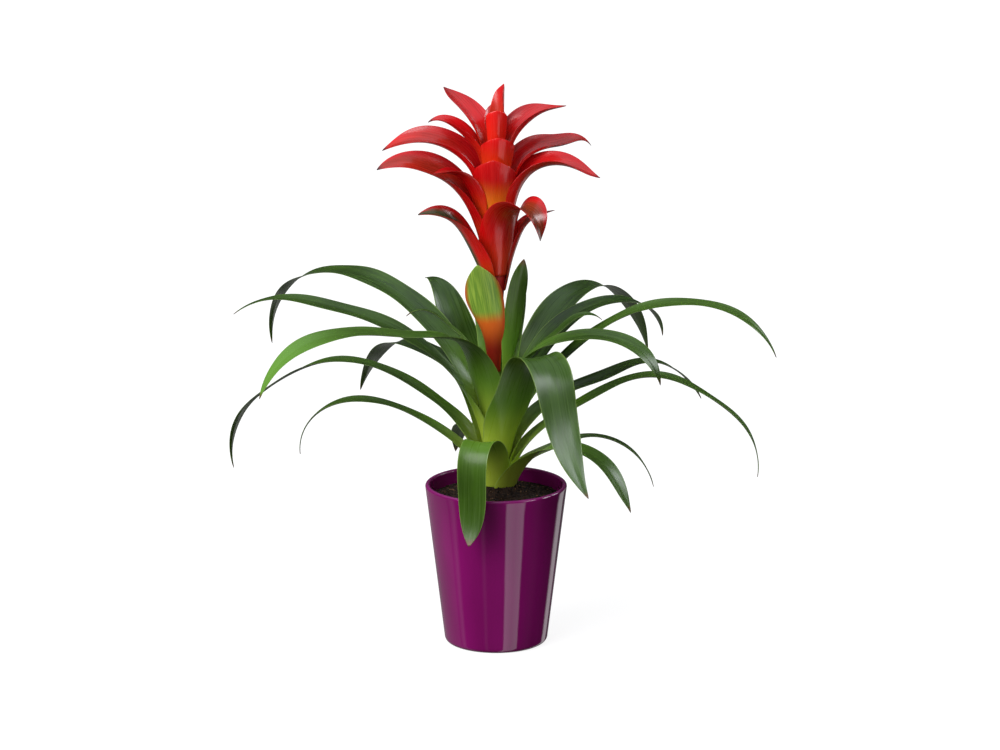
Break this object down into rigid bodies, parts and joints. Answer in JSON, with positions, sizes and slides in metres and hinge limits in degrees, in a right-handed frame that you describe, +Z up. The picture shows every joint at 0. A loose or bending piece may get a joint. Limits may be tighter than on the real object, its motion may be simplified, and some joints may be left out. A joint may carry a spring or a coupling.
{
  "type": "potted bromeliad",
  "caption": "Potted bromeliad: a red flower spike of curved bracts over a rosette of arching green strap leaves, in a glossy purple tapered pot with dark soil.",
  "frame": {"origin": "centre of the pot's flat underside, on the surface that the pot stands on", "axes": "+Z up along the pot's axis and the flower spike; +X to the right and -Y to the front of the plant's showing side"},
  "size_m": [0.506, 0.3487, 0.5197],
  "materials": {
    "purple_glaze": "high-gloss purple glaze inside and out",
    "potting_soil": "matt, crumbly dark peat",
    "stem_green": "satin green stem",
    "leaf_green": "waxy satin leaf, paler and yellower at its foot",
    "bract_green": "waxy yellow-green bract with orange margins",
    "bract_red": "glossy red bract, orange at its foot, darker at its tip"
  },
  "bodies": {
    "root": {"pot": "purple_glaze", "soil": "potting_soil", "flower_stem": "stem_green", "leaf_inner_front": "leaf_green", "leaf_inner_left": "leaf_green", "leaf_inner_back": "leaf_green", "leaf_left_third": "leaf_green", "leaf_right_third": "leaf_green", "leaf_back_tall": "leaf_green", "leaf_right_sliver": "leaf_green", "leaf_left_high": "leaf_green", "leaf_right_second": "leaf_green", "leaf_left_top": "leaf_green", "leaf_right_top": "leaf_green", "leaf_left_broad": "leaf_green", "leaf_right_high": "leaf_green", "leaf_front_right": "leaf_green", "leaf_left_hidden": "leaf_green", "leaf_right_fourth": "leaf_green", "leaf_front_left": "leaf_green", "leaf_left_fourth": "leaf_green", "leaf_right_fifth": "leaf_green", "leaf_back_low": "leaf_green", "leaf_left_fifth": "leaf_green", "leaf_right_sixth": "leaf_green", "leaf_back_left_low": "leaf_green", "leaf_right_seventh": "leaf_green", "leaf_back_right_low": "leaf_green", "bract_green_front": "bract_green", "bract_lower_left": "bract_red", "bract_lower_right": "bract_red", "bract_lower_back": "bract_red", "bract_front_curled": "bract_red", "bract_left_large": "bract_red", "bract_back_large": "bract_red", "bract_front_left_cup": "bract_red", "bract_right_large": "bract_red", "bract_front_tall": "bract_red", "bract_left_second": "bract_red", "bract_right_second": "bract_red", "bract_back_second": "bract_red", "bract_front_short": "bract_red", "bract_left_curled": "bract_red", "bract_right_top": "bract_red", "bract_left_top": "bract_red", "bract_back_top": "bract_red", "bract_bud_sheath": "bract_red", "bract_bud": "bract_red"}
  },
  "joints": []
}
